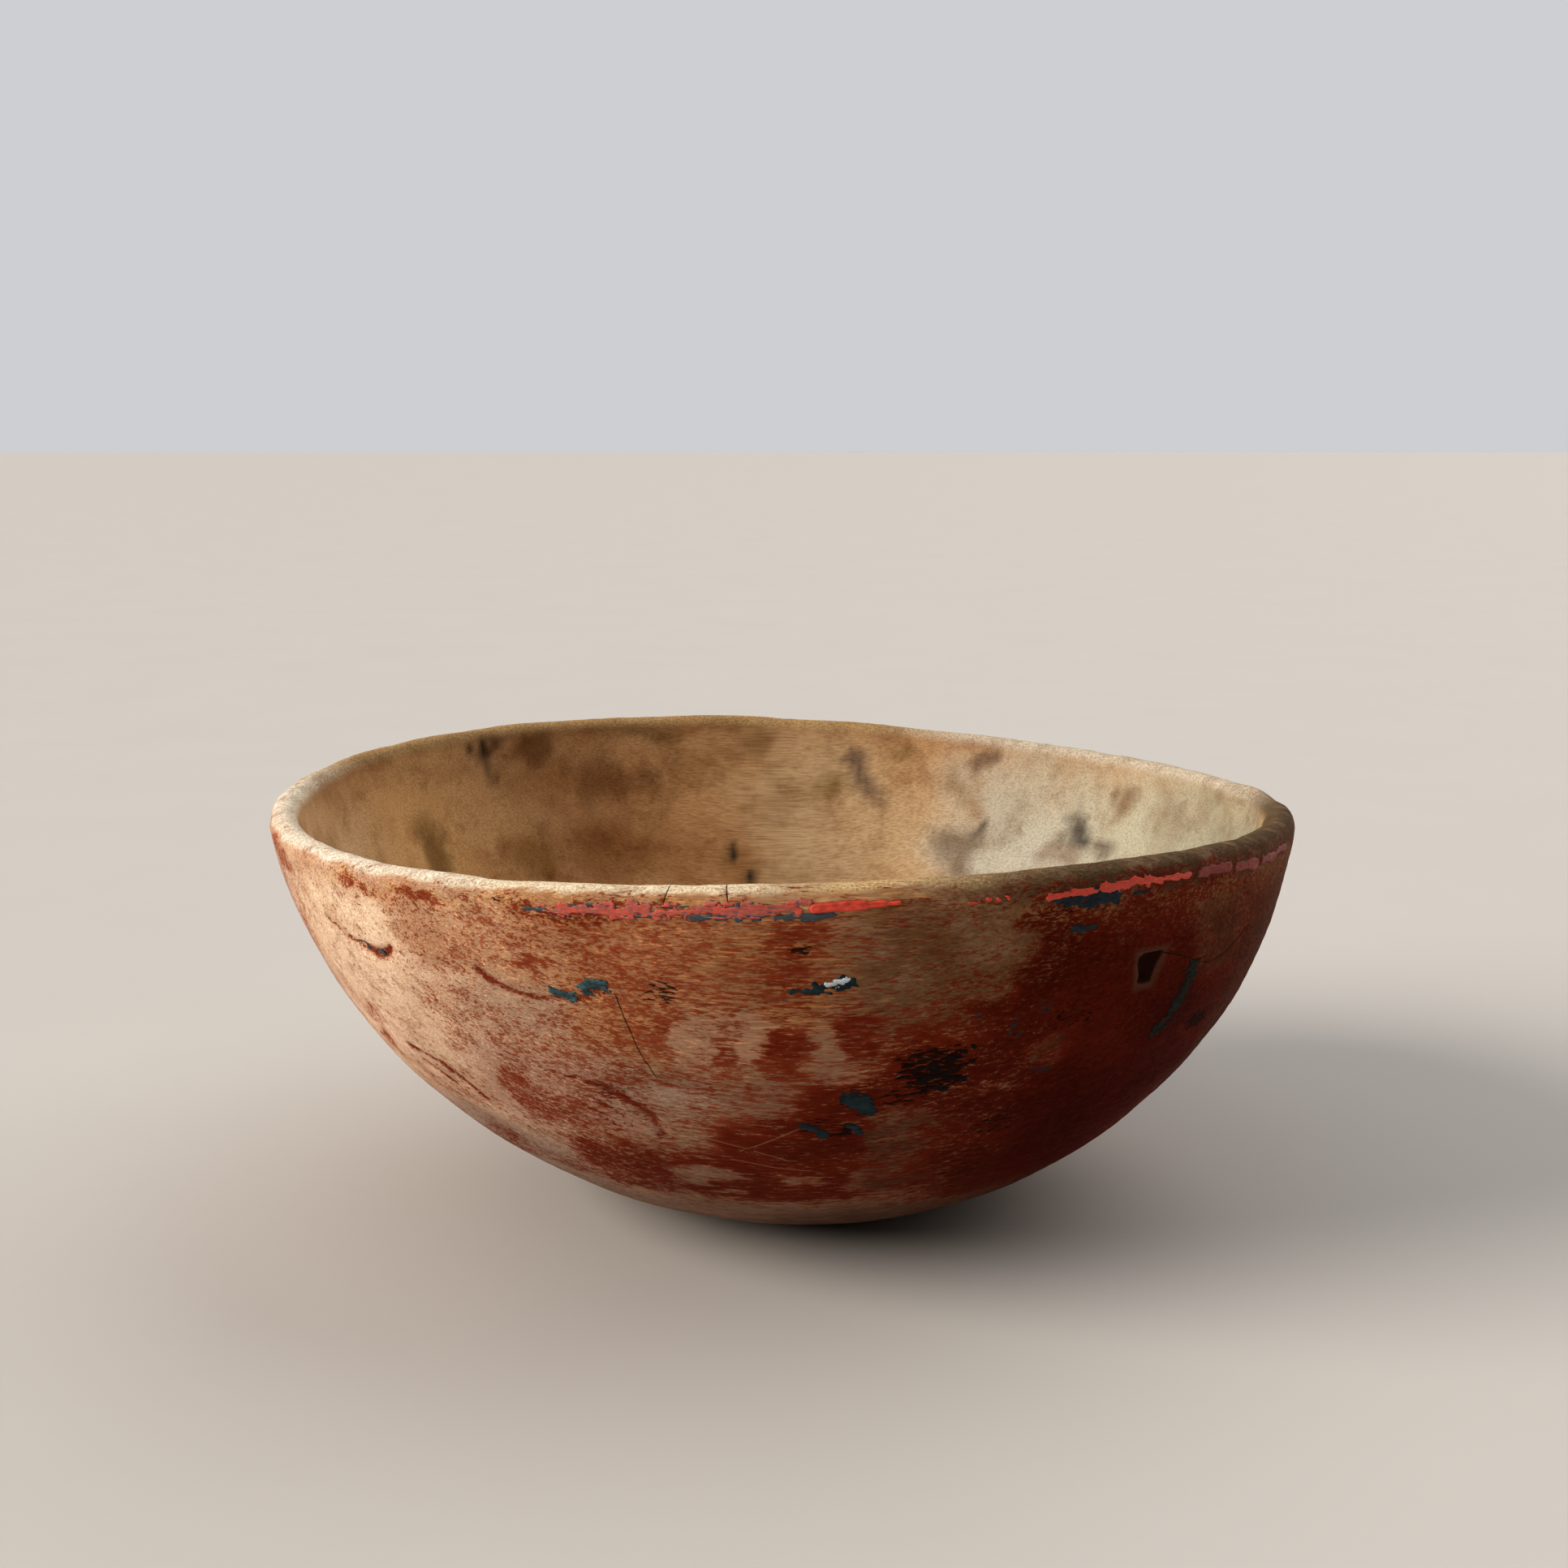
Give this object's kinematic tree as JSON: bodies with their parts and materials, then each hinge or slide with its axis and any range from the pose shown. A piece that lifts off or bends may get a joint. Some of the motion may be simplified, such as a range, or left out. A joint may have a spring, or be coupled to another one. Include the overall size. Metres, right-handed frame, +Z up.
{
  "type": "turned wooden bowl",
  "caption": "Round lathe-turned wooden bowl, dried oval, with a rounded rim, worn red ochre outside, a broken coral line under the rim and flakes of older blue paint.",
  "frame": {"origin": "centre of the flat foot, on the surface the bowl stands on", "axes": "+Z up out of the bowl's mouth, +X to the right along the wood's grain and near the rim's long axis, +Y away from the side with the bright stretch of line"},
  "size_m": [0.2505, 0.2289, 0.105],
  "materials": {
    "ochre_washed_birch": "matt, worn bare wood with rubbed red ochre",
    "coral_line_paint": "satin, brittle oil paint on wood",
    "slate_blue_paint": "satin, brittle oil paint on wood",
    "teal_blue_paint": "satin, brittle oil paint on wood",
    "white_paint": "satin, brittle oil paint on wood",
    "dark_paint": "satin, blackened oil paint on wood"
  },
  "bodies": {
    "root": {"bowl_body": "ochre_washed_birch", "coral_line_front": "coral_line_paint", "coral_line_specks": "coral_line_paint", "coral_line_right": "coral_line_paint", "coral_line_end_flakes": "coral_line_paint", "coral_line_back": "coral_line_paint", "slate_blue_under_front": "slate_blue_paint", "slate_blue_under_right": "slate_blue_paint", "blue_flakes_left": "teal_blue_paint", "blue_flake_centre": "slate_blue_paint", "white_fleck": "white_paint", "blue_flakes_low": "teal_blue_paint", "blue_streak_right": "slate_blue_paint", "dark_paint_patch": "dark_paint", "blue_flakes_back": "teal_blue_paint"}
  },
  "joints": []
}
